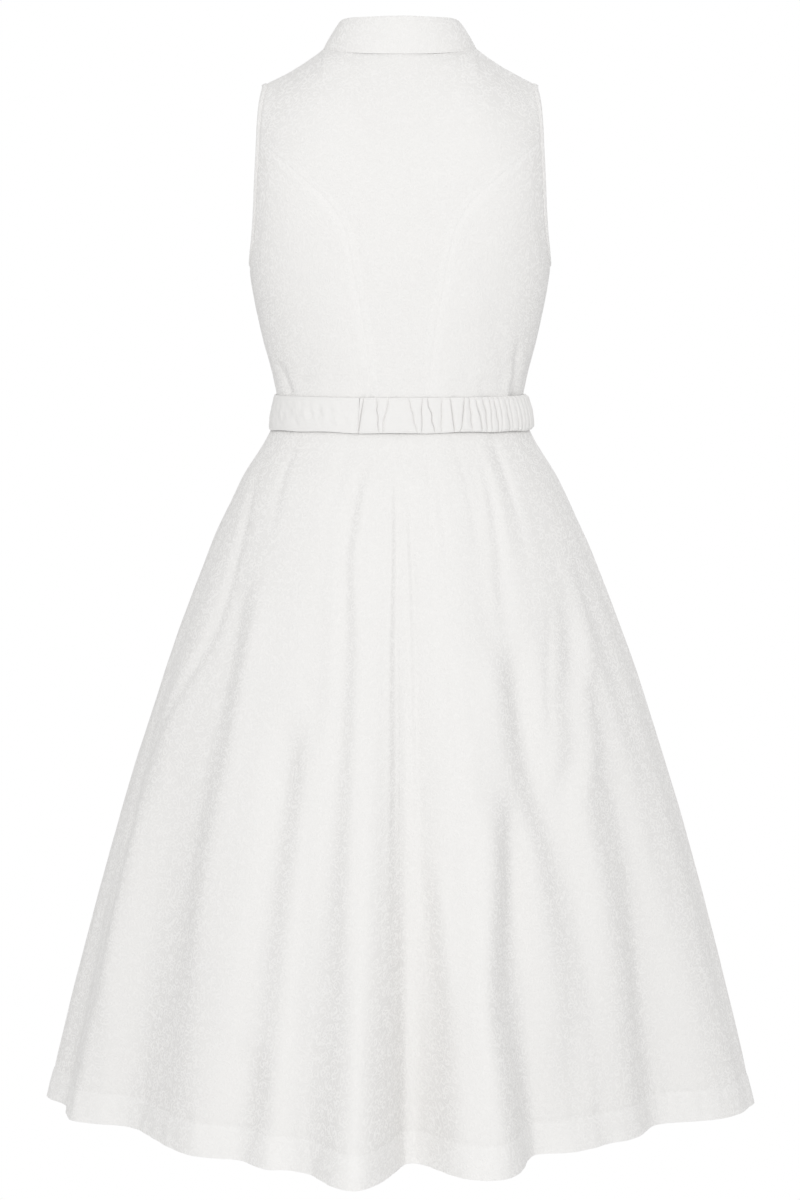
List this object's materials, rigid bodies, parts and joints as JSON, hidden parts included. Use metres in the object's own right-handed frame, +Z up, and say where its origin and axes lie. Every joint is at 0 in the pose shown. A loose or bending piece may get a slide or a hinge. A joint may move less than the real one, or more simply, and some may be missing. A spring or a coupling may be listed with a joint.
{
  "type": "dirndl",
  "caption": "Sleeveless dirndl with a stand collar, princess-seamed bodice, part-gathered belt and flared skirt, shaped as worn.",
  "frame": {"origin": "middle of the line through the two shoulder seams, where the wearer's shoulders hold the dress", "axes": "+Z up, -Y towards the wearer's front, +X towards the wearer's left"},
  "size_m": [0.784, 0.6347, 1.1864],
  "materials": {
    "cloth": "white cotton jacquard with small tone-on-tone scrolls and a soft sheen",
    "belt": "white plain cotton sateen",
    "button": "satin"
  },
  "bodies": {
    "root": {"back_centre": "cloth", "side_back_left": "cloth", "side_back_right": "cloth", "front_left": "cloth", "front_right": "cloth", "side_front_left": "cloth", "side_front_right": "cloth", "placket": "cloth", "collar": "cloth", "armhole_binding_left": "cloth", "armhole_binding_right": "cloth", "skirt_back_left": "cloth", "skirt_back_right": "cloth", "skirt_front_left": "cloth", "skirt_front_right": "cloth", "belt_gathered": "belt", "belt_left": "belt", "belt_right": "belt", "belt_button": "button", "button_1": "button", "button_2": "button", "button_3": "button", "button_4": "button", "button_5": "button", "button_6": "button", "button_7": "button", "button_8": "button"}
  },
  "joints": []
}
